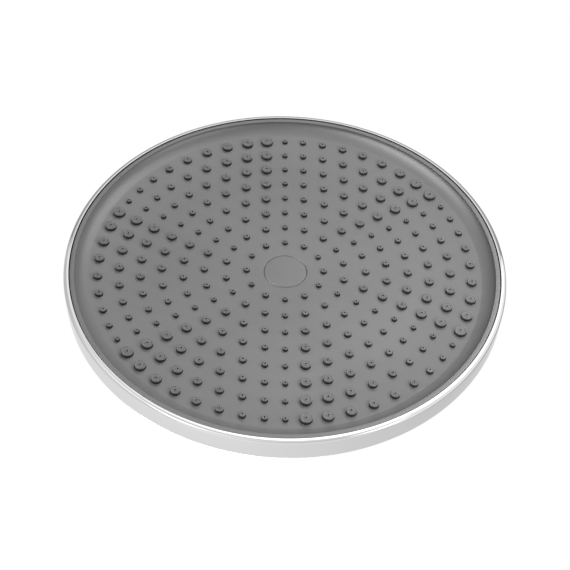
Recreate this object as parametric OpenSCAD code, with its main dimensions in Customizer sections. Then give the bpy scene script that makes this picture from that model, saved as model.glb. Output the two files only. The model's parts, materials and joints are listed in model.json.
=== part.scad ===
// Overhead rain shower head with a ball joint.
// The head hangs from a threaded supply pipe: +Z points up the pipe, the origin is at
// the mouth of the inlet thread, and the spray face looks down.

/* [Head] */
// Outer diameter of the head
head_d = 360; // [320:10:400]
// Height of the side wall, from the rolled lip to the back edge
wall_h = 20.6; // [14:0.2:30]
// Depth of the spray face behind the rolled lip
face_recess = 8.4; // [4:0.2:12]
// Rise of the domed back from its edge to the hub
back_rise = 15.8; // [6:0.2:30]
// Thickness of the casing's sheet
sheet = 1.5; // [0.8:0.1:3]

/* [Nozzles] */
// Distance of the outermost nozzle ring from the head's edge
ring_margin = 27.7; // [26:0.1:40]
// Spacing between rings as a share of the outermost ring's radius
pitch_share = 0.1134; // [0.1:0.0001:0.118]
// Diameter of the smallest nozzle boss
small_boss_d = 4.3; // [3:0.1:6]
// Growth of a boss's diameter from one nozzle to the next
boss_step = 0.7; // [0.2:0.05:0.8]
// Height of the largest nozzle bosses above the spray face
boss_h = 3.1; // [2.4:0.1:3.5]
// Height of the smallest nozzle bosses
small_boss_h = 2.6; // [1.5:0.1:2.8]
// Diameter of a spray outlet
outlet_d = 1.3; // [0.8:0.1:2]
// How far the rings are pulled from a circle's even spacing to a hexagon's
hexagon_share = 0.85; // [0:0.05:1]

/* [Inlet] */
// Minor diameter of the pipe thread, plain bore in place of the thread
thread_minor_d = 18.6; // [14:0.1:24]
// Length of the inlet thread
thread_len = 11; // [8:0.5:15]
// Width across the flats of the inlet hexagon
hex_af = 24; // [22:1:30]
// Diameter of the ball
ball_d = 24; // [18:1:30]
// Diameter of the neck between the hexagon and the ball
neck_d = 14; // [10:1:16]

/* [Centre] */
// Diameter of the blank cover over the centre screw
cover_d = 34.7; // [20:0.1:50]
// Clearance between the blank cover and its recess
cover_gap = 0.15; // [0.1:0.05:0.5]
// Width of the bevel on each side of that joint
cover_bevel = 0.7; // [0.2:0.1:1]

/* [Hidden] */
$fn = 64;
eps = 0.02;
running = 0.05;

// inlet and ball joint, all heights on the inlet axis
ball_r = ball_d / 2;
neck_r = neck_d / 2;
ball_z = -35;
mouth_z = 1;
ledge_z = -(thread_len + 2.5);
pocket_z = ledge_z - 4.5;
hex_z = -18.5;
liner_in_r = ball_r + running;
liner_out_r = liner_in_r + 1.9;
socket_r = liner_out_r + running;
thread_r = 17;
collar_r = 20.5;
collar_top_z = ball_z + 10.5;
collar_low_z = ball_z - 8;
ring_top_z = ball_z + 7;
ring_low_z = ball_z + 4;
ring_out_r = 15.6;
flange_z = ball_z - 12;
spigot_r = 13;
spigot_low_z = -62;
bridge_r = 8.5;
bridge_low_z = -60.5;

// casing and spray cartridge
head_r = head_d / 2;
back_r = head_r - 1.1;
hub_r = 24;
hub_z = flange_z;
edge_z = hub_z - back_rise;
lip_z = edge_z - wall_h;
face_z = lip_z + face_recess;
plate_back_z = face_z + 3;
lip_in_r = head_r - 4.5;
cove_w = 11;
plate_r = lip_in_r - 0.6;
band_r = plate_r - 3.7;
cove_r = band_r - cove_w;
band_h = face_recess - 0.8;
wall_in_r = head_r - 15;
wall_out_r = head_r - 10.5;
cover_low_z = plate_back_z + 6;
cover_top_z = cover_low_z + 2.5;
screw_ring_r = head_r - 17.5;
screw_count = 12;
pad_z = face_z + 5.5;
post_z = bridge_low_z - 0.8;
badge_z = face_z + 2;
post_r = 5.2;
bevel_h = 0.35;

// nozzle rings
ring_count = 8;
outer_ring_r = head_r - ring_margin;
ring_pitch = outer_ring_r * pitch_share;

// names of the pieces, and the one to draw

// ---- helpers ----

// Tube from height z, rising by h
module tube(z, h, r_out, r_in) {
    difference() {
        translate([0, 0, z]) cylinder(h = h, r = r_out);
        translate([0, 0, z - 1]) cylinder(h = h + 2, r = r_in);
    }
}

// Slab of radius r between two heights
module slab(z0, z1, r) {
    translate([0, 0, z0]) cylinder(h = z1 - z0, r = r);
}

// Ring of round section
module o_ring(z, r_mid, r_wire) {
    translate([0, 0, z]) rotate_extrude() translate([r_mid, 0]) circle(r = r_wire);
}

// Hexagonal prism, width af across its flats
module hexagon(z, h, af) {
    translate([0, 0, z]) cylinder(h = h, r = af / 2 / cos(30), $fn = 6);
}

// ---- nozzle pattern ----

function ring_m(i) = i + 1;
function ring_r(i) = outer_ring_r - ring_pitch * (ring_count - i);
function step_angle(t) = 60 * (1 - hexagon_share) * t
    + hexagon_share * atan2(t * sin(60), 1 - t / 2);
function boss_d(m, j) = j == 0 ? small_boss_d : small_boss_d + boss_step * (m - j);
function boss_top(d) = min(boss_h, small_boss_h + 0.14 * (d - small_boss_d));
function stem_r(m, j) = min(boss_d(m, j) / 2 - 0.55, 3.2);

// Places a child at every nozzle of ring i, sector by sector from the smallest boss
module at_nozzles(i, j) {
    m = ring_m(i);
    for (s = [0 : 5])
        rotate([0, 0, 90 - s * 60 - step_angle(j / m)])
            translate([ring_r(i), 0, face_z]) children();
}

// Nozzle profile: flange behind the plate, stem through it, boss and outlet in front
module nozzle(m, j) {
    r = boss_d(m, j) / 2;
    s = stem_r(m, j);
    top = boss_top(2 * r);
    hole = outlet_d / 2;
    tip = r < 3 ? r - 0.7 : min(1.7, r - 1.6);
    dish = r < 3 ? [] : [[tip + 0.2, 0.45 - top], [r - 1.6, 0.45 - top], [r - 1.1, -top]];
    rotate_extrude()
        polygon(concat([[hole, 4.2], [hole, -top], [tip, -top]], dish,
                       [[r - 0.45, -top], [r - 0.1, 0.4 - top], [r, -0.3], [r, 0], [s, 0],
                        [s, 3], [s + 0.5, 3], [s + 0.5, 4.2]]));
}

// All nozzles of one ring
module nozzles(i) {
    m = ring_m(i);
    color([0.30, 0.30, 0.31])
        for (j = [0 : m - 1])
            at_nozzles(i, j) nozzle(m, j);
}

// Holes through the spray plate for one ring's stems
module stem_holes(i) {
    m = ring_m(i);
    for (j = [0 : m - 1])
        at_nozzles(i, j) translate([0, 0, -1]) cylinder(h = 5, r = stem_r(m, j), $fn = 24);
}

// ---- inlet ----

// Chromed brass: threaded socket, hexagon, neck and hollow ball in one turning
module ball_stud() {
    color([0.80, 0.81, 0.83])
    difference() {
        union() {
            intersection() {
                hexagon(hex_z, mouth_z - hex_z, hex_af);
                rotate_extrude()
                    polygon([[0, mouth_z], [hex_af / 2 + 0.4, mouth_z],
                             [hex_af / 2 + 2, mouth_z - 1.2],
                             [hex_af / 2 + 2, hex_z + 1.2], [hex_af / 2 + 0.4, hex_z],
                             [0, hex_z]]);
            }
            translate([0, 0, hex_z - 1.5]) cylinder(h = 1.5, r1 = neck_r, r2 = neck_r + 2);
            slab(ball_z + 6, hex_z - 1.5, neck_r);
            intersection() {
                translate([0, 0, ball_z]) sphere(r = ball_r);
                slab(ball_z - 9, ball_z + ball_r, ball_r + 1);
            }
        }
        slab(-thread_len - eps, 0.5, thread_minor_d / 2);
        cylinder(h = 2, r1 = thread_minor_d / 2, r2 = thread_minor_d / 2 + 2);
        slab(ledge_z, -thread_len, thread_minor_d / 2 + 0.3);
        slab(pocket_z, ledge_z + 1, 6);
        slab(ball_z - 10, pocket_z + 1, 4);
    }
}

// Flat washer that seals the pipe end
module inlet_gasket() {
    color([0.08, 0.08, 0.08]) tube(ledge_z + eps, 2.2, thread_minor_d / 2 - 0.1, 6.4);
}

// Perforated disc in a rim, inside the washer
module filter_screen() {
    color([0.70, 0.71, 0.72])
    difference() {
        union() {
            slab(ledge_z + eps, ledge_z + 0.4, 6.3);
            tube(ledge_z + eps, 2, 6.3, 5.7);
        }
        for (ring = [1 : 4])
            for (k = [0 : 6 * ring - 1])
                rotate([0, 0, k * 60 / ring])
                    translate([ring * 1.25, 0, ledge_z - 1]) cylinder(h = 3, r = 0.4, $fn = 16);
    }
}

// Flow limiting disc with a centre pin and a ring of ports
module flow_limiter() {
    color([0.20, 0.42, 0.62])
    difference() {
        union() {
            slab(pocket_z + eps, pocket_z + 1.8, 5.9);
            slab(pocket_z + 1, pocket_z + 4, 1.4);
            tube(pocket_z + 1, 3.3, 5.9, 4.9);
        }
        for (k = [0 : 7])
            rotate([0, 0, k * 45])
                translate([2.6, 0, pocket_z - 1]) cylinder(h = 4, r = 0.7, $fn = 16);
    }
}

// Soft ring that closes the ports as the pressure rises
module limiter_ring() {
    color([0.75, 0.35, 0.12]) o_ring(pocket_z + 1.85 + 0.8, 3.6, 0.8);
}

// ---- ball joint ----

// Low friction spherical liner under the ball
module ball_liner() {
    color([0.93, 0.93, 0.90])
    intersection() {
        difference() {
            translate([0, 0, ball_z]) sphere(r = liner_out_r);
            translate([0, 0, ball_z]) sphere(r = liner_in_r);
        }
        slab(ball_z - 9, ball_z - 0.7, liner_out_r + 1);
    }
}

// Ring that the collar nut presses down on the ball
module pressure_ring() {
    color([0.78, 0.62, 0.32])
    difference() {
        slab(ring_low_z, ring_top_z - running, ring_out_r);
        translate([0, 0, ball_z]) sphere(r = liner_in_r);
    }
}

// Chromed nut with an inward lip, screwed on to the socket body
module collar_nut() {
    flats = 37.5;
    color([0.80, 0.81, 0.83])
    difference() {
        rotate_extrude()
            polygon([[thread_r + eps, collar_low_z], [collar_r - 0.6, collar_low_z],
                     [collar_r, collar_low_z + 0.6], [collar_r, collar_top_z - 3.4],
                     [collar_r - 1, collar_top_z - 1.2], [collar_r - 3, collar_top_z],
                     [11.8, collar_top_z], [10.8, collar_top_z - 1.2], [10.8, ring_top_z],
                     [ring_out_r + running, ring_top_z], [ring_out_r + running, ball_z + 1.8],
                     [thread_r + eps, ball_z + 1.8]]);
        for (side = [0, 180])
            rotate([0, 0, side])
                translate([flats / 2, -15, collar_low_z + 2]) cube([5, 30, 10]);
    }
}

// Brass socket: spherical pocket above, flange on the hub, threaded spigot below
module socket_body() {
    color([0.78, 0.62, 0.32])
    difference() {
        union() {
            slab(flange_z + 3, ball_z + 1.5, thread_r);
            slab(flange_z, flange_z + 3, collar_r + 1.5);
            slab(spigot_low_z, flange_z, spigot_r);
        }
        intersection() {
            translate([0, 0, ball_z]) sphere(r = socket_r);
            slab(ball_z - 12.2, ball_z, socket_r + 1);
        }
        slab(ball_z - eps, ball_z + 3, socket_r);
        slab(flange_z - 6, ball_z - 10, 6.6);
        slab(spigot_low_z - 1, flange_z - 5, bridge_r);
        tube(spigot_low_z + 1.3, 1.6, spigot_r + 1, 11.6);
        tube(flange_z - 1, 2.2, collar_r - 1, 16.4);
    }
}

// Ring in the groove under the socket's flange
module flange_seal() {
    color([0.08, 0.08, 0.08]) tube(flange_z + eps, 1.15, collar_r - 1.1, 16.5);
}

// Steel washer under the lock nut
module hub_washer() {
    color([0.70, 0.71, 0.72]) tube(hub_z - sheet - 1.2, 1.2 - eps, 20.5, spigot_r + 0.1);
}

// Lock nut that clamps the casing to the socket
module lock_nut() {
    color([0.78, 0.62, 0.32])
    difference() {
        hexagon(hub_z - sheet - 6.7, 5.4, 34);
        slab(hub_z - sheet - 8, hub_z - sheet, spigot_r + eps);
    }
}

// Ring that seals the spray cartridge on the spigot
module spigot_seal() {
    color([0.08, 0.08, 0.08]) o_ring(spigot_low_z + 2.1, 12.35, 0.72);
}

// Three-armed bridge across the spigot, tapped for the centre screw
module screw_bridge() {
    color([0.78, 0.62, 0.32])
    difference() {
        union() {
            tube(bridge_low_z, 4, bridge_r - eps, bridge_r - 1.3);
            slab(bridge_low_z, bridge_low_z + 4, 4.2);
            for (k = [0 : 2])
                rotate([0, 0, k * 120 + 30])
                    translate([0, -1, bridge_low_z]) cube([bridge_r - 0.6, 2, 4]);
        }
        slab(bridge_low_z - 1, bridge_low_z + 5, 2.45);
    }
}

// ---- casing ----

function back_z(r) = hub_z - (back_rise - 1.2) * pow((r - hub_r) / (back_r - 3 - hub_r), 2);
function back_line(drop) = [for (k = [0 : 12])
    let (r = hub_r + (back_r - 3 - hub_r) * k / 12) [r, back_z(r) - drop]];

// Chromed sheet casing: hub, domed back, side wall and rolled lip
module casing() {
    outer = back_line(0);
    inner = back_line(sheet);
    color([0.80, 0.81, 0.83])
        rotate_extrude()
            polygon(concat(
                [[spigot_r + 0.15, hub_z]],
                outer,
                [[back_r - 1.4, edge_z + 0.75], [back_r - 0.35, edge_z + 0.3],
                 [back_r, edge_z - 0.5], [head_r, lip_z + 3.4],
                 [head_r - 0.25, lip_z + 2.1], [head_r - 0.9, lip_z + 1.2],
                 [head_r - 2.2, lip_z + 0.5], [lip_in_r + 0.2, lip_z],
                 [lip_in_r, lip_z + 0.2], [lip_in_r, lip_z + 1.6],
                 [head_r - 2.3, lip_z + 1.7], [head_r - sheet, lip_z + 2.6],
                 [back_r - sheet, edge_z - 0.9]],
                [for (k = [12 : -1 : 0]) inner[k]],
                [[spigot_r + 0.15, hub_z - sheet]]));
}

// ---- spray cartridge ----

// Moulded cover that closes the water chamber from above
module chamber_cover() {
    color([0.16, 0.16, 0.17])
    difference() {
        union() {
            slab(cover_low_z, cover_top_z, wall_out_r);
            slab(cover_top_z, spigot_low_z + 5, 17);
            for (k = [0 : 11])
                rotate([0, 0, k * 30])
                    translate([16, -1, cover_top_z - 0.5]) cube([head_r - 60, 2, 3.5]);
        }
        slab(cover_low_z - 1, spigot_low_z + 6, spigot_r + 0.1);
        for (k = [0 : screw_count - 1])
            rotate([0, 0, 15 + k * 360 / screw_count])
                translate([screw_ring_r, 0, cover_low_z - 1]) cylinder(h = 5, r = 1.7, $fn = 24);
    }
}

// Flat gasket in the groove of the plate's rim wall
module chamber_seal() {
    color([0.08, 0.08, 0.08]) tube(cover_low_z - 1.15, 1.15 - eps, wall_out_r - 1.2, wall_in_r + 1.7);
}

// Pan head screws that close the chamber
module chamber_screws() {
    color([0.70, 0.71, 0.72])
        for (k = [0 : screw_count - 1])
            rotate([0, 0, 15 + k * 360 / screw_count])
                translate([screw_ring_r, 0, cover_top_z])
                    difference() {
                        rotate_extrude()
                            polygon([[0, -7], [1.1, -7], [1.45, -6.4], [1.45, eps], [2.9, eps],
                                     [2.9, 1], [2.3, 1.6], [0, 1.7]]);
                        translate([-0.4, -1.6, 0.9]) cube([0.8, 3.2, 2]);
                        translate([-1.6, -0.4, 0.9]) cube([3.2, 0.8, 2]);
                    }
}

// Disc that turns the stream outwards into the chamber
module flow_baffle() {
    color([0.86, 0.86, 0.84])
        tube(pad_z + eps, 1.2, 26, post_r + eps);
}

// Grey moulded face: flat field, cove, raised band, rim wall and centre post
module spray_plate() {
    cove = [for (k = [0 : 8]) let (a = k * 90 / 8)
        [cove_r + cove_w * sin(a), face_z - band_h * (0.4 * sin(a) + 0.6 * (1 - cos(a)))]];
    color([0.26, 0.26, 0.27])
    difference() {
        union() {
            rotate_extrude()
                polygon(concat(
                    [[0, face_z]],
                    cove,
                    [[plate_r - 0.4, face_z - band_h], [plate_r, face_z - band_h + 0.4],
                     [plate_r, face_z - 0.6], [wall_out_r + 2.4, plate_back_z],
                     [wall_out_r, plate_back_z], [wall_out_r, cover_low_z - eps],
                     [wall_in_r, cover_low_z - eps], [wall_in_r, plate_back_z],
                     [20, plate_back_z], [20, pad_z], [post_r, pad_z], [post_r, post_z],
                     [0, post_z]]));
            for (k = [0 : screw_count - 1])
                rotate([0, 0, 15 + k * 360 / screw_count])
                    translate([screw_ring_r, 0, plate_back_z - 1])
                        cylinder(h = 7 - eps, r = 3.5, $fn = 32);
        }
        for (i = [1 : ring_count]) stem_holes(i);
        for (k = [0 : screw_count - 1])
            rotate([0, 0, 15 + k * 360 / screw_count])
                translate([screw_ring_r, 0, plate_back_z + 0.8])
                    cylinder(h = 8, r = 1.5, $fn = 24);
        tube(cover_low_z - 1.2, 3, wall_out_r - 1.1, wall_in_r + 1.6);
        slab(face_z - 1, badge_z, cover_d / 2 + cover_gap);
        translate([0, 0, face_z - bevel_h])
            cylinder(h = 2 * bevel_h, r1 = cover_d / 2 + cover_gap + 2 * cover_bevel,
                     r2 = cover_d / 2 + cover_gap);
        slab(face_z, post_z + 1, 2.7);
        translate([0, 0, badge_z - 0.1]) cylinder(h = 2.6, r1 = 4.8, r2 = 2.7);
    }
}

module nozzles_ring_1() nozzles(1);
module nozzles_ring_2() nozzles(2);
module nozzles_ring_3() nozzles(3);
module nozzles_ring_4() nozzles(4);
module nozzles_ring_5() nozzles(5);
module nozzles_ring_6() nozzles(6);
module nozzles_ring_7() nozzles(7);
module nozzles_ring_8() nozzles(8);

// Soft washer between the centre post and the bridge
module post_washer() {
    color([0.08, 0.08, 0.08]) tube(post_z + eps, 0.8 - 2 * eps, 4.6, 2.6);
}

// Countersunk screw that draws the spray cartridge up to the bridge
module centre_screw() {
    color([0.70, 0.71, 0.72])
    difference() {
        rotate_extrude()
            polygon([[0, badge_z], [4.5, badge_z], [4.5, badge_z + 0.2], [2.4, badge_z + 2.4],
                     [2.4, bridge_low_z + 4.4], [1.9, bridge_low_z + 5], [0, bridge_low_z + 5]]);
        hexagon(badge_z - 1, 2.6, 3);
    }
}

// Blank disc that hides the centre screw
module centre_cover() {
    color([0.27, 0.27, 0.28])
        rotate_extrude()
            polygon([[0, face_z], [cover_d / 2 - cover_bevel, face_z],
                     [cover_d / 2, face_z + bevel_h],
                     [cover_d / 2, badge_z - eps], [0, badge_z - eps]]);
}

// ---- drawing ----

ball_stud();
inlet_gasket();
filter_screen();
flow_limiter();
limiter_ring();
ball_liner();
pressure_ring();
collar_nut();
socket_body();
flange_seal();
hub_washer();
lock_nut();
spigot_seal();
screw_bridge();
casing();
chamber_cover();
chamber_seal();
chamber_screws();
flow_baffle();
spray_plate();
nozzles_ring_1();
nozzles_ring_2();
nozzles_ring_3();
nozzles_ring_4();
nozzles_ring_5();
nozzles_ring_6();
nozzles_ring_7();
nozzles_ring_8();
post_washer();
centre_screw();
centre_cover();
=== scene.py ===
"""Overhead rain shower head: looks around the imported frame. Metres, row frame, spray face down."""

import json
import math

import bmesh
import bpy
from mathutils import Matrix, Vector


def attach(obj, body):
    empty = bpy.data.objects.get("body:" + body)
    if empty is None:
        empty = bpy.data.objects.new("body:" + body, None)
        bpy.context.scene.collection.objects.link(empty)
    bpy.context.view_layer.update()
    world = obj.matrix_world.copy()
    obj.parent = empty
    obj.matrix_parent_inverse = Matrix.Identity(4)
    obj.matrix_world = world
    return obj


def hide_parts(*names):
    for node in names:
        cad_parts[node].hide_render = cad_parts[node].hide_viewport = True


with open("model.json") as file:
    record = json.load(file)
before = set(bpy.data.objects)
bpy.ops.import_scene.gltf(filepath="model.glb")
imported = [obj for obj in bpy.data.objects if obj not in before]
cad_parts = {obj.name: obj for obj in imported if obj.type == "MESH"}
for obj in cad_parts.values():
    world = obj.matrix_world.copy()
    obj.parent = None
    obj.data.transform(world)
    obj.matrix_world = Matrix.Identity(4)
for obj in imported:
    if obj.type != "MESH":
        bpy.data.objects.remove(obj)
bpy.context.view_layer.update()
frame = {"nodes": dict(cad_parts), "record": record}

MM = 0.001

# ---- sizes, as in the CAD model (millimetres) ----

HEAD_R = 180.0
BACK_R = HEAD_R - 1.1
HUB_R = 24.0
BALL_R = 12.0
BALL_Z = -35.0
HUB_Z = BALL_Z - 12
BACK_RISE = 15.8
EDGE_Z = HUB_Z - BACK_RISE
LIP_Z = EDGE_Z - 20.6
FACE_Z = LIP_Z + 8.4
SHEET = 1.5
LIP_IN_R = HEAD_R - 4.5
PLATE_R = LIP_IN_R - 0.6
BAND_R = PLATE_R - 3.7
COVE_R = BAND_R - 11
BAND_H = 7.6
COVER_R = 17.35
COVER_GAP = 0.15
COVER_BEVEL = 0.7
RINGS = 8
OUTER_RING_R = 152.3
RING_PITCH = OUTER_RING_R * 0.1134
SMALL_BOSS_D = 4.3
BOSS_STEP = 0.7
BOSS_H = 3.1
SMALL_BOSS_H = 2.6
OUTLET_R = 0.65
HEXAGON_SHARE = 0.85
HEXAGON_HALF = 12.0
NECK_R = 7.0
THREAD_R = 9.3
THREAD_PITCH = 1.814
THREAD_DEPTH = 1.1
THREAD_LENGTH = 11.0
THREAD_STEPS = 12

# ---- camera ----

CAMERA_DISTANCE = 1.3916
CAMERA_ELEVATION = 47.69
PATTERN_TURN = 1.82
CAMERA_ROLL = 2.396
LENS = 107.6
SHIFT_X = -0.0004
SHIFT_Y = -0.02395


def facing(v):
    """From the face's own frame, face up with the camera in front, to the row frame."""
    turned = Matrix.Rotation(-math.radians(PATTERN_TURN), 3, "Z") @ Vector(v)
    return Vector((-turned.x, turned.y, -turned.z))


def on_face(v):
    """A point given from the middle of the spray face, in the row frame."""
    return facing(v) + Vector((0, 0, FACE_Z * MM))


def direction(azimuth, elevation):
    """A direction in the face's own frame, in degrees; the camera is at azimuth 270."""
    a, e = math.radians(azimuth), math.radians(elevation)
    return Vector((math.cos(a) * math.cos(e), math.sin(a) * math.cos(e), math.sin(e)))


def make_camera():
    e, roll = math.radians(CAMERA_ELEVATION), math.radians(CAMERA_ROLL)
    away = facing((0, -math.cos(e), math.sin(e)))
    right = facing((1, 0, 0))
    up = facing((0, math.sin(e), math.cos(e)))
    x = math.cos(roll) * right + math.sin(roll) * up
    y = math.cos(roll) * up - math.sin(roll) * right
    data = bpy.data.cameras.new("camera")
    data.lens = LENS
    data.sensor_width = 36
    data.shift_x = SHIFT_X
    data.shift_y = SHIFT_Y
    data.clip_start = 0.01
    data.clip_end = 100
    camera = bpy.data.objects.new("camera", data)
    camera.matrix_world = Matrix.Translation(
        on_face((0, 0, 0)) + away * CAMERA_DISTANCE
    ) @ Matrix((x, y, away)).transposed().to_4x4()
    bpy.context.scene.collection.objects.link(camera)
    bpy.context.scene.camera = camera


make_camera()

# ---- materials ----

# painted shade: how dark the silicone colour is made at the foot of each nozzle
FOOT_SHADE_TONE = 0.14
GREY = (0.270, 0.270, 0.272)
CHROME = (0.645, 0.645, 0.646)


def material(name, color, metallic, roughness, coat=0.0):
    m = bpy.data.materials.new(name)
    m.use_nodes = True
    shader = m.node_tree.nodes["Principled BSDF"]
    shader.inputs["Base Color"].default_value = (*color, 1)
    shader.inputs["Metallic"].default_value = metallic
    shader.inputs["Roughness"].default_value = roughness
    shader.inputs["Coat Weight"].default_value = coat
    m.diffuse_color = (*color, 1)
    return m, m.node_tree, shader


def link(tree, a, b):
    tree.links.new(a, b)


def noise(tree, scale, detail=2.0, rough=0.5, stretch=(1, 1, 1)):
    coords = tree.nodes.new("ShaderNodeTexCoord")
    mapping = tree.nodes.new("ShaderNodeMapping")
    mapping.inputs["Scale"].default_value = stretch
    n = tree.nodes.new("ShaderNodeTexNoise")
    n.inputs["Scale"].default_value = scale
    n.inputs["Detail"].default_value = detail
    n.inputs["Roughness"].default_value = rough
    link(tree, coords.outputs["Object"], mapping.inputs["Vector"])
    link(tree, mapping.outputs["Vector"], n.inputs["Vector"])
    return n


def remap(tree, socket, low, high, lo=0.3, hi=0.7):
    r = tree.nodes.new("ShaderNodeMapRange")
    r.inputs["From Min"].default_value = lo
    r.inputs["From Max"].default_value = hi
    r.inputs["To Min"].default_value = low
    r.inputs["To Max"].default_value = high
    link(tree, socket, r.inputs["Value"])
    return r.outputs["Result"]


def tint(tree, socket, a, b, lo=0.3, hi=0.7):
    ramp = tree.nodes.new("ShaderNodeValToRGB")
    ramp.color_ramp.elements[0].position = lo
    ramp.color_ramp.elements[0].color = (*a, 1)
    ramp.color_ramp.elements[1].position = hi
    ramp.color_ramp.elements[1].color = (*b, 1)
    link(tree, socket, ramp.inputs["Fac"])
    return ramp.outputs["Color"]


def bump(tree, shader, socket, strength, distance, after=None):
    b = tree.nodes.new("ShaderNodeBump")
    b.inputs["Strength"].default_value = strength
    b.inputs["Distance"].default_value = distance
    link(tree, socket, b.inputs["Height"])
    if after:
        link(tree, after.outputs["Normal"], b.inputs["Normal"])
    link(tree, b.outputs["Normal"], shader.inputs["Normal"])
    return b


def scaled(c, k):
    return tuple(min(1.0, x * k) for x in c)


def vary(tree, texture, roughness, low, high, shader):
    """Roughness that follows a texture, between two multiples of its mean."""
    spread = remap(tree, texture.outputs["Fac"], roughness * low, roughness * high)
    link(tree, spread, shader.inputs["Roughness"])


def chrome(name, color, roughness=0.05):
    m, tree, shader = material(name, color, 1.0, roughness)
    haze = noise(tree, 35, 4)
    vary(tree, haze, roughness, 0.7, 1.5, shader)
    tone = noise(tree, 9, 3)
    link(tree, tint(tree, tone.outputs["Fac"], scaled(color, 0.985), scaled(color, 1.01)),
         shader.inputs["Base Color"])
    peel = noise(tree, 240, 2)
    bump(tree, shader, peel.outputs["Fac"], 0.03, 0.0001)
    return m


def moulded(name, color, roughness, grain=1400, depth=0.00006, mottle=0.06, strength=0.35):
    """Moulded plastic or silicone: fine spark-eroded grain, faint flow mottling."""
    m, tree, shader = material(name, color, 0.0, roughness)
    shader.inputs["Specular IOR Level"].default_value = 0.7
    flow = noise(tree, 14, 4, 0.6)
    link(tree, tint(tree, flow.outputs["Fac"], scaled(color, 1 - mottle), scaled(color, 1 + mottle)),
         shader.inputs["Base Color"])
    fine = noise(tree, grain, 2)
    vary(tree, fine, roughness, 0.88, 1.12, shader)
    bump(tree, shader, fine.outputs["Fac"], strength, depth)
    return m


def machined(name, color, roughness, rings=True):
    """Turned metal: fine rings about the inlet axis and a little tarnish."""
    m, tree, shader = material(name, color, 1.0, roughness)
    turned = noise(tree, 60, 3, 0.6, stretch=(0.2, 0.2, 40) if rings else (40, 0.4, 0.4))
    vary(tree, turned, roughness, 0.7, 1.4, shader)
    tarnish = noise(tree, 80, 4)
    link(tree, tint(tree, tarnish.outputs["Fac"], scaled(color, 0.82), color), shader.inputs["Base Color"])
    bump(tree, shader, turned.outputs["Fac"], 0.15, 0.00005)
    return m


def silicone(name, color, roughness):
    """Soft nozzle silicone, with painted shade that makes it darker towards the foot."""
    m, tree, shader = material(name, color, 0.0, roughness)
    shader.inputs["Specular IOR Level"].default_value = 0.45
    coords = tree.nodes.new("ShaderNodeTexCoord")
    split = tree.nodes.new("ShaderNodeSeparateXYZ")
    link(tree, coords.outputs["Object"], split.inputs["Vector"])
    # painted shade: colour follows height above the face, darkest at each nozzle's foot and a little lighter
    # at its top, plus random mottle
    height = remap(tree, split.outputs["Z"], 0, 1, FACE_Z * MM, (FACE_Z - 3) * MM)
    mottle = noise(tree, 300, 3)
    foot_shade_and_mottle = tree.nodes.new("ShaderNodeMath")
    foot_shade_and_mottle.operation = "MULTIPLY_ADD"
    foot_shade_and_mottle.inputs[1].default_value = 0.16
    link(tree, mottle.outputs["Fac"], foot_shade_and_mottle.inputs[0])
    link(tree, height, foot_shade_and_mottle.inputs[2])
    link(tree, tint(tree, foot_shade_and_mottle.outputs["Value"], scaled(color, FOOT_SHADE_TONE), scaled(color, 1.1), 0.72, 0.96),
         shader.inputs["Base Color"])
    fine = noise(tree, 2600, 2)
    vary(tree, fine, roughness, 0.88, 1.12, shader)
    bump(tree, shader, fine.outputs["Fac"], 0.35, 0.00006)
    return m


LOOKS = {
    "chrome_casing": chrome("polished_chrome_casing", CHROME, 0.045),
    "chrome_fitting": chrome("polished_chrome_fitting", CHROME, 0.06),
    "brass": machined("turned_brass", (0.72, 0.52, 0.24), 0.28),
    "steel": machined("zinc_steel", (0.60, 0.61, 0.62), 0.32),
    "grey_plastic": moulded("grey_moulded_plastic", GREY, 0.38),
    "grey_silicone": silicone("grey_silicone", GREY, 0.44),
    "black_rubber": moulded("black_rubber", (0.018, 0.018, 0.018), 0.7, grain=2200),
    "liner_plastic": moulded("white_liner_plastic", (0.80, 0.80, 0.77), 0.38, grain=900, strength=0.2),
    "cover_plastic": moulded("dark_cover_plastic", (0.045, 0.045, 0.048), 0.5),
    "limiter_plastic": moulded("blue_limiter_plastic", (0.05, 0.18, 0.40), 0.4),
    "limiter_rubber": moulded("orange_rubber", (0.50, 0.14, 0.03), 0.55),
}
# painted shade: a near-black colour on the outlet bores and their closed ends, standing in for the shade
# deep inside each outlet
PAINTED_BORE_SHADE = moulded("painted_outlet_bore_shade", (0.004, 0.004, 0.004), 0.9, strength=0.1)

SLOT_OF = {s["node"]: s["material_slot"] for s in frame["record"]["subparts"]}
for name, node in frame["nodes"].items():
    node.data.materials.clear()
    node.data.materials.append(LOOKS[SLOT_OF[name]])

# ---- mesh helpers ----


def rounded(points, steps=6, share=0.49):
    """A polyline from (r, z) or (r, z, radius) corners, each corner with a radius turned into an arc."""
    out = []
    n = len(points)
    for i, p in enumerate(points):
        radius = p[2] if len(p) > 2 else 0
        here = Vector(p[:2])
        if not radius or i in (0, n - 1):
            out.append(here)
            continue
        a, b = Vector(points[i - 1][:2]) - here, Vector(points[i + 1][:2]) - here
        half = a.angle(b) / 2
        cut = min(radius / math.tan(half), a.length * share, b.length * share)
        r = cut * math.tan(half)
        centre = here + (a.normalized() + b.normalized()).normalized() * (r / math.sin(half))
        start, end = here + a.normalized() * cut, here + b.normalized() * cut
        v0, v1 = start - centre, end - centre
        turn = v0.angle_signed(v1)
        for k in range(steps + 1):
            t = turn * k / steps
            c, s = math.cos(-t), math.sin(-t)
            out.append(centre + Vector((v0.x * c - v0.y * s, v0.x * s + v0.y * c)))
    return [(v.x, v.y) for v in out]


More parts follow.
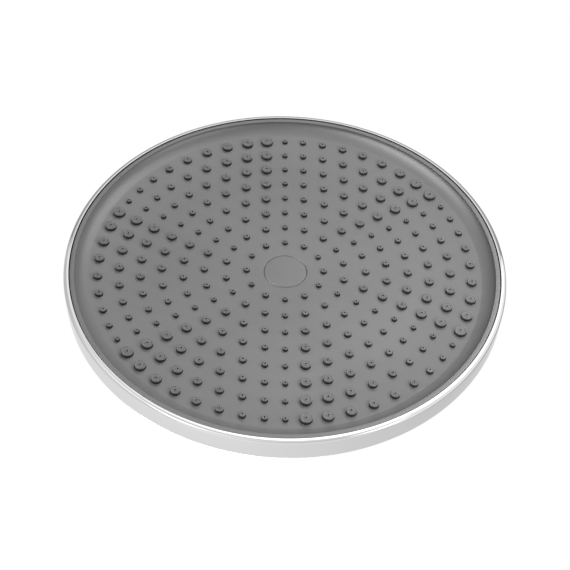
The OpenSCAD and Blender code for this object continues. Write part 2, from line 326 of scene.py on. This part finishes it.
def grid_mesh(name, rows, closed_rows=True, caps=()):
    """A skin through rows of points, each row a closed ring; caps name the rows that are filled."""
    n = len(rows[0])
    verts = [p for row in rows for p in row]
    faces = []
    last = len(rows) if closed_rows else len(rows) - 1
    for i in range(last):
        a, b = i * n, ((i + 1) % len(rows)) * n
        for k in range(n):
            k2 = (k + 1) % n
            faces.append((a + k, a + k2, b + k2, b + k))
    for row in caps:
        a = (row % len(rows)) * n
        ring = tuple(range(a, a + n))
        faces.append(ring if row else ring[::-1])
    mesh = bpy.data.meshes.new(name)
    mesh.from_pydata([tuple(c * MM for c in v) for v in verts], [], faces)
    return mesh


def finish_mesh(mesh, angle=35):
    bm = bmesh.new()
    bm.from_mesh(mesh)
    bmesh.ops.remove_doubles(bm, verts=bm.verts, dist=1e-7)
    bmesh.ops.recalc_face_normals(bm, faces=bm.faces)
    bm.to_mesh(mesh)
    bm.free()
    mesh.shade_smooth()
    mesh.set_sharp_from_angle(angle=math.radians(angle))
    return mesh


GREYS = bpy.data.collections.new("greys")
CHROMED = bpy.data.collections.new("chromed")


def piece(name, mesh, body, slot, nodes=()):
    obj = bpy.data.objects.new(name, mesh)
    bpy.context.scene.collection.objects.link(obj)
    if not mesh.materials:
        mesh.materials.append(LOOKS[slot])
    if slot.startswith("grey"):
        GREYS.objects.link(obj)
    elif slot.startswith("chrome"):
        CHROMED.objects.link(obj)
    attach(obj, body)
    if nodes:
        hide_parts(*nodes)
    return obj


def ring(r, z, n, radius=None):
    out = []
    for k in range(n):
        a = 2 * math.pi * k / n
        q = radius(a, r, z) if radius else r
        out.append((q * math.cos(a), q * math.sin(a), z))
    return out


def lathe(name, profile, segments=256, radius=None, closed=True, caps=(), angle=35):
    rows = [ring(r, z, segments, radius) for r, z in profile]
    return finish_mesh(grid_mesh(name, rows, closed, caps), angle)


# ---- casing ----


def back_z(r):
    return HUB_Z - (BACK_RISE - 1.2) * ((r - HUB_R) / (BACK_R - 3 - HUB_R)) ** 2


def back_line(steps, drop):
    return [
        (HUB_R + (BACK_R - 3 - HUB_R) * k / steps, back_z(HUB_R + (BACK_R - 3 - HUB_R) * k / steps) - drop)
        for k in range(steps + 1)
    ]


def make_casing():
    outer = [(13.2, HUB_Z), *back_line(40, 0), (BACK_R, EDGE_Z + 0.15, 1.4), (HEAD_R, LIP_Z + 0.9, 3.3),
             (LIP_IN_R, LIP_Z, 0.3), (LIP_IN_R, LIP_Z + 1.6, 0.2),
             (HEAD_R - SHEET - 0.2, LIP_Z + 1.9, 0.5), (BACK_R - SHEET, EDGE_Z - 1.2)]
    inner = [*back_line(40, SHEET)[::-1], (13.2, HUB_Z - SHEET)]
    mesh = lathe("casing_shell", rounded(outer + inner, 8, 0.7), 288, angle=40)
    piece("casing_shell", mesh, "head", "chrome_casing", ["casing"])


# ---- spray face ----


def make_face():
    cove = []
    for k in range(25):
        a = math.pi / 2 * k / 24
        u = math.sin(a)
        cove.append((COVE_R + (BAND_R - COVE_R) * u, FACE_Z - BAND_H * (0.4 * u + 0.6 * (1 - math.cos(a)))))
    recess = COVER_R + COVER_GAP
    profile = rounded([
        (3.0, FACE_Z + 2), (recess, FACE_Z + 2, 0.2), (recess, FACE_Z + 0.35, 0.1),
        (recess + COVER_BEVEL, FACE_Z, 0.6), (60, FACE_Z), (110, FACE_Z),
        *cove[:-1], (*cove[-1], 0.6), (PLATE_R, FACE_Z - BAND_H, 0.6), (PLATE_R, FACE_Z - 0.6, 0.3),
        (172, FACE_Z + 3, 0.4), (20, FACE_Z + 3), (20, FACE_Z + 5.5, 0.4), (3.0, FACE_Z + 5.5)], 5)
    piece("spray_face", lathe("spray_face", profile, 256, angle=38), "head", "grey_plastic", ["spray_plate"])
    disc = rounded([(0.01, FACE_Z), (COVER_R - COVER_BEVEL, FACE_Z, 0.6), (COVER_R, FACE_Z + 0.35, 0.1),
                    (COVER_R, FACE_Z + 1.96), (0.01, FACE_Z + 1.96)], 4)
    piece("centre_disc", lathe("centre_disc", disc, 96), "head", "grey_plastic", ["centre_cover"])


# ---- nozzles ----


def ring_m(i):
    return i + 1


def ring_r(i):
    return OUTER_RING_R - RING_PITCH * (RINGS - i)


def step_angle(t):
    return 60 * (1 - HEXAGON_SHARE) * t + HEXAGON_SHARE * math.degrees(
        math.atan2(t * math.sin(math.radians(60)), 1 - t / 2))


def boss_d(m, j):
    return SMALL_BOSS_D + (BOSS_STEP * (m - j) if j else 0)


def boss_h(d):
    return min(BOSS_H, SMALL_BOSS_H + 0.14 * (d - SMALL_BOSS_D))


def nozzle_profile(m, j):
    """(r, height in front of the face), from the outlet out to the foot."""
    d = boss_d(m, j)
    r, top = d / 2, boss_h(d)
    if r < 3.0:
        return rounded([
            (OUTLET_R, -0.5), (OUTLET_R, top, 0.1), (r - 0.15, top - 0.05, min(0.9, r - 1.2)),
            (r + 0.05, 0.0, 0.35), (r + 0.5, -0.05)], 4)
    tip = min(1.7, r - 1.6)
    dish = top - 0.45
    return rounded([
        (OUTLET_R, -0.5), (OUTLET_R, top, 0.12), (tip - 0.1, top, 0.25), (tip + 0.15, dish, 0.25),
        (r - 1.5, dish + 0.05, 0.6), (r - 1.0, top, 0.4), (r - 0.1, top - 0.02, 0.45), (r + 0.05, 0.0, 0.35),
        (r + 0.5, -0.05)], 3)


def make_nozzles():
    segments = 28
    for i in range(1, RINGS + 1):
        m = ring_m(i)
        # the bore walls and bore ends get the near-black painted shade
        verts, faces, bore_shade_faces = [], [], []
        for s in range(6):
            for j in range(m):
                angle = math.radians(90 - s * 60 - step_angle(j / m))
                cx, cy = ring_r(i) * math.cos(angle), ring_r(i) * math.sin(angle)
                profile = nozzle_profile(m, j)
                base = len(verts)
                for r, h in profile:
                    for k in range(segments):
                        a = 2 * math.pi * k / segments
                        x, y = cx + r * math.cos(a), cy + r * math.sin(a)
                        verts.append((x * MM, y * MM, (FACE_Z - h) * MM))
                for row in range(len(profile) - 1):
                    for k in range(segments):
                        k2 = (k + 1) % segments
                        a, b = base + row * segments, base + (row + 1) * segments
                        faces.append((a + k, a + k2, b + k2, b + k))
                        bore_shade_faces.append(1 if row == 0 else 0)
                faces.append(tuple(range(base, base + segments))[::-1])
                bore_shade_faces.append(1)
        mesh = bpy.data.meshes.new(f"nozzles_{i}")
        mesh.from_pydata(verts, [], faces)
        mesh.materials.append(LOOKS["grey_silicone"])
        mesh.materials.append(PAINTED_BORE_SHADE)
        mesh.polygons.foreach_set("material_index", bore_shade_faces)
        finish_mesh(mesh, 50)
        piece(f"nozzles_{i}", mesh, "head", "grey_silicone", [f"nozzles_ring_{i}"])


# ---- inlet fitting and collar ----


def make_inlet():
    corner = HEXAGON_HALF / math.cos(math.pi / 6)

    def hexagon(a, r, z):
        if r < HEXAGON_HALF - 0.01:
            return r
        wedge = math.fmod(a, math.pi / 3) - math.pi / 6
        return min(r, HEXAGON_HALF / math.cos(wedge), corner - 0.12)

    def chamfered(z_from, z_to, steps, r0, r1):
        parts = [k / steps for k in range(steps + 1)]
        return [(r0 + (r1 - r0) * t, z_from + (z_to - z_from) * t) for t in parts]

    ball = []
    low, high = math.asin(-9 / BALL_R), math.acos(NECK_R / BALL_R)
    for k in range(31):
        a = high + (low - high) * k / 30
        ball.append((BALL_R * math.cos(a), BALL_Z + BALL_R * math.sin(a)))
    outer = [
        (10.0, 1.0), *chamfered(1.0, -0.3, 8, 12.3, 14.2),
        (14.2, -8), *chamfered(-17.2, -18.5, 8, 14.2, 12.3),
        (9.2, -18.5), (8.2, -19.1), (7.3, -19.9), (NECK_R, -21), (NECK_R, ball[0][1] + 0.3),
        *ball, (4.0, BALL_Z - 9)]
    rows = [ring(r, z, 144, hexagon) for r, z in outer]
    # bore, from the ball up to the thread
    for r, z in [(4.0, -20), (4.0, -18.02), (6.0, -18.0), (6.0, -13.52), (9.5, -13.5), (9.6, -11.2)]:
        rows.append(ring(r, z, 144))
    # the thread, one ring of points for each step of the helix
    z = -THREAD_LENGTH
    while z < 0.0:
        row = []
        for k in range(144):
            a = 2 * math.pi * k / 144
            phase = (z / THREAD_PITCH + a / (2 * math.pi)) % 1.0
            crest = max(0.0, min(1.0, 2.4 * abs(phase - 0.5) * 2 - 0.7))
            run_out = min(1.0, z + THREAD_LENGTH, -z / 0.8 + 0.05)
            r = THREAD_R + THREAD_DEPTH * (1 - crest) * run_out
            row.append((r * math.cos(a), r * math.sin(a), z))
        rows.append(row)
        z += THREAD_PITCH / THREAD_STEPS
    rows.append(ring(THREAD_R + 0.05, 0.0, 144))
    mesh = finish_mesh(grid_mesh("inlet_fitting", rows, True), 32)
    piece("inlet_fitting", mesh, "inlet", "chrome_fitting", ["ball_stud"])


def make_collar():
    low, high = BALL_Z - 8, BALL_Z + 10.5
    flats_low, flats_high, half = low + 2, low + 12, 37.5 / 2

    def flats(a, r, z):
        if flats_low < z < flats_high and r > half:
            return min(r, half / max(abs(math.cos(a)), 1e-6))
        return r

    profile = rounded([
        (17.02, low), (20.5, low, 0.8), (20.5, flats_low - 0.001), (20.5, flats_low + 0.001),
        (20.5, flats_high - 0.001), (20.5, flats_high + 0.001), (20.5, high, 3.2),
        (11.3, high, 0.8), (10.8, BALL_Z + 7, 0.2), (15.65, BALL_Z + 7), (15.65, BALL_Z + 1.8),
        (17.02, BALL_Z + 1.8)], 8)
    piece("collar", lathe("collar", profile, 192, flats, angle=32), "head", "chrome_fitting", ["collar_nut"])
    socket = rounded([
        (13.0, HUB_Z - 15), (13.0, HUB_Z, 0.1), (22.0, HUB_Z, 0.3), (22.0, HUB_Z + 3, 0.6),
        (17.0, HUB_Z + 3, 0.2), (17.0, BALL_Z + 1.5, 0.2), (14.0, BALL_Z + 1.5), (14.0, BALL_Z),
        (12.6, BALL_Z - 6), (10, BALL_Z - 9.8), (6.6, BALL_Z - 12), (6.6, BALL_Z - 16),
        (8.5, BALL_Z - 17), (8.5, HUB_Z - 15)], 5)
    piece("socket", lathe("socket", socket, 144), "head", "chrome_fitting", ["socket_body"])


make_casing()
make_face()
make_nozzles()
make_inlet()
make_collar()

# ---- stage and light ----

WORLD_FILL = 0.01
BACKDROP = 0.78
# soft windows of the room: azimuth, elevation, strength
WINDOWS = ((60, 72, 1.97), (90, 45, 1.58), (180, 45, 0.8), (225, 45, 0.5))


def make_world():
    """White for the camera, a soft studio for reflections, almost nothing for diffuse light."""
    world = bpy.data.worlds.new("studio")
    bpy.context.scene.world = world
    world.use_nodes = True
    tree = world.node_tree
    background = tree.nodes["Background"]
    background.inputs["Color"].default_value = (1, 1, 1, 1)
    path = tree.nodes.new("ShaderNodeLightPath")
    coords = tree.nodes.new("ShaderNodeTexCoord")
    split = tree.nodes.new("ShaderNodeSeparateXYZ")
    link(tree, coords.outputs["Generated"], split.inputs["Vector"])

    def math_node(operation, a, b):
        node = tree.nodes.new("ShaderNodeMath")
        node.operation = operation
        for socket, value in ((node.inputs[0], a), (node.inputs[1], b)):
            if isinstance(value, (int, float)):
                socket.default_value = value
            else:
                link(tree, value, socket)
        return node.outputs["Value"]

    def mix(factor, a, b):
        node = tree.nodes.new("ShaderNodeMix")
        node.data_type = "FLOAT"
        link(tree, factor, node.inputs["Factor"])
        for socket, value in ((node.inputs["A"], a), (node.inputs["B"], b)):
            if isinstance(value, (int, float)):
                socket.default_value = value
            else:
                link(tree, value, socket)
        return node.outputs["Result"]

    # above the head: a bright ceiling, dimmer on one side and towards the far horizon
    across = math_node("MULTIPLY", remap(tree, split.outputs["X"], 0.80, 1.12, -1.0, 0.6),
                       remap(tree, split.outputs["Y"], 1.02, 0.84, -0.5, 0.5))
    edge = remap(tree, split.outputs["Y"], 1.0, 0.58, -0.6, 0.3)
    ceiling = math_node("MULTIPLY", across, mix(remap(tree, split.outputs["Z"], 0, 1, 0.0, 0.6), edge, 1.0))
    # on the spray face's side: a dim room with soft windows
    room = remap(tree, split.outputs["Z"], 0.03, 0.36, -0.6, -0.1)
    for azimuth, elevation, strength in WINDOWS:
        dot = tree.nodes.new("ShaderNodeVectorMath")
        dot.operation = "DOT_PRODUCT"
        link(tree, coords.outputs["Generated"], dot.inputs[0])
        dot.inputs[1].default_value = facing(direction(azimuth, elevation))
        lobe = math_node("POWER", math_node("MAXIMUM", dot.outputs["Value"], 0.0), 10.0)
        room = math_node("ADD", room, math_node("MULTIPLY", lobe, strength))
    glossy = mix(remap(tree, split.outputs["Z"], 0, 1, -0.03, 0.05), room, ceiling)
    soft = mix(path.outputs["Is Diffuse Ray"], glossy, WORLD_FILL)
    backdrop = remap(tree, split.outputs["Z"], BACKDROP, 1.0, 0.0, 0.3)
    link(tree, mix(path.outputs["Is Camera Ray"], soft, backdrop), background.inputs["Strength"])


def area(name, place, aim, size, power, diffuse=True):
    data = bpy.data.lights.new(name, "AREA")
    data.shape = "RECTANGLE"
    data.size, data.size_y = size
    data.energy = power
    light = bpy.data.objects.new(name, data)
    facing_aim = (place - aim).to_track_quat("Z", "Y").to_matrix().to_4x4()
    light.matrix_world = Matrix.Translation(place) @ facing_aim
    bpy.context.scene.collection.objects.link(light)
    light.visible_diffuse = diffuse
    light.visible_camera = False
    return light


def softbox(name, azimuth, elevation, power, size=(0.9, 0.9), distance=2.0, diffuse=True):
    """A softbox placed by its direction from the middle of the spray face."""
    place = distance * direction(azimuth, elevation)
    return area(name, on_face(place), on_face((0, 0, 0)), size, power, diffuse=diffuse)


def make_lights():
    """Keys for the grey pieces, cards for the chrome to reflect, and a light above the back."""
    keys = (softbox("key_right", 45, 50, 10.9),
            softbox("close_front_right", 330, 40, 1.9, (0.45, 0.45), 0.65),
            softbox("key_left", 180, 50, 2.0),
            softbox("low_left", 180, 15, 4.8, (0.9, 0.7)),
            softbox("window", 195, 52, 40, (2.0, 1.2), diffuse=False))
    cards = (softbox("card_front", 270, 35, 31, (4.2, 3.0), diffuse=False),
             softbox("card_left", 180, 28, 13, (4.0, 2.4), diffuse=False),
             softbox("card_right", 0, 28, 30, (4.0, 2.4), diffuse=False))
    for lamp in keys:
        lamp.light_linking.receiver_collection = GREYS
    for card in cards:
        card.light_linking.receiver_collection = CHROMED
    area("above_head", Vector((0.5, 0.3, 2.2)), Vector((0, 0, HUB_Z * MM)), (1.6, 1.0), 30)


def make_floor():
    """A wide pale floor well below the head, lit by a soft sun of its own."""
    half, z = 60, -2.2
    corners = [(-half, -half, z), (half, -half, z), (half, half, z), (-half, half, z)]
    mesh = bpy.data.meshes.new("floor")
    mesh.from_pydata(corners, [], [(0, 1, 2, 3)])
    mesh.materials.append(material("pale_floor", (0.86, 0.86, 0.86), 0.0, 0.7)[0])
    floor = bpy.data.objects.new("floor", mesh)
    bpy.context.scene.collection.objects.link(floor)
    floor.visible_glossy = False
    floor.visible_diffuse = False
    lit = bpy.data.collections.new("stage")
    lit.objects.link(floor)
    wash = bpy.data.objects.new("floor_wash", bpy.data.lights.new("floor_wash", "SUN"))
    wash.data.energy = 2.65
    wash.data.angle = math.radians(40)
    wash.light_linking.receiver_collection = lit
    bpy.context.scene.collection.objects.link(wash)


make_world()
make_lights()
make_floor()

bpy.context.scene.view_settings.view_transform = "Standard"
